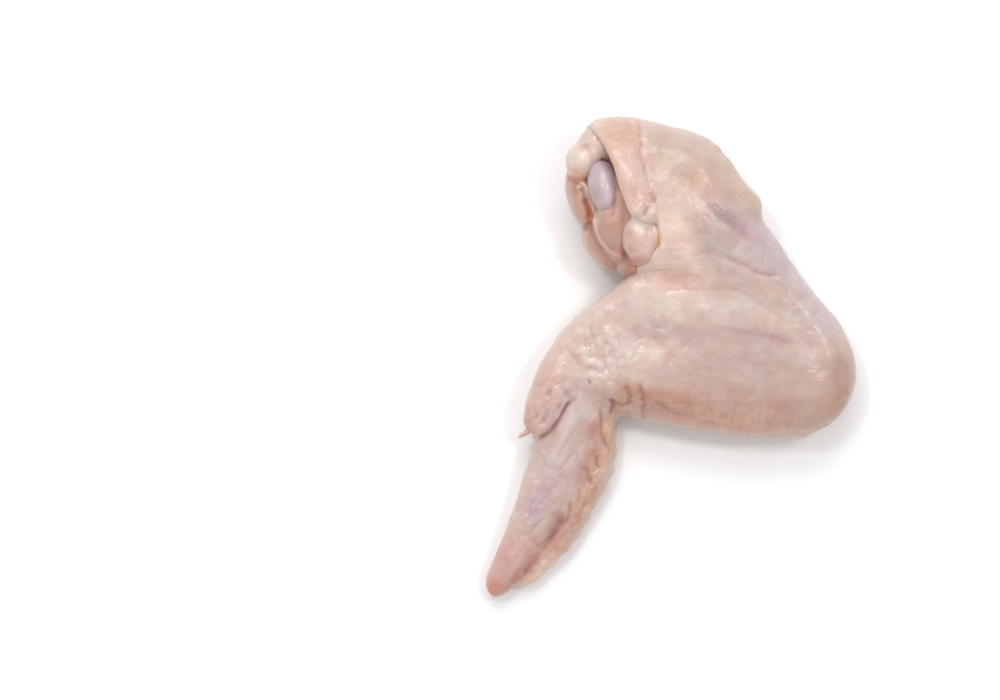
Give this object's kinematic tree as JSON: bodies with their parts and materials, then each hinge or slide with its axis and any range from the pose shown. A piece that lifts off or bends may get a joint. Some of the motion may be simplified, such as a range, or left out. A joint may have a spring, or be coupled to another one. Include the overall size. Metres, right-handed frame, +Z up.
{
  "type": "chicken wing",
  "caption": "Raw chicken wing lying flat: plump upper arm cut open at the shoulder, forearm bent back under it, and a pointed tip with a small thumb.",
  "frame": {"origin": "under the middle of the wing's box, on the board it lies on", "axes": "+Z up from the board, +Y towards the shoulder end and away from the tip, +X towards the elbow"},
  "size_m": [0.1064, 0.1392, 0.0346],
  "materials": {
    "skin": "moist, pale pink with creamy fat under it",
    "meat": "moist, brownish pink",
    "bone": "wet, smooth, lilac grey cartilage",
    "fat": "wet, whitish",
    "claw": "dull horn"
  },
  "bodies": {
    "root": {"skin": "skin", "meat": "meat", "humerus": "bone", "fat_lobe": "fat", "claw": "claw"}
  },
  "joints": []
}
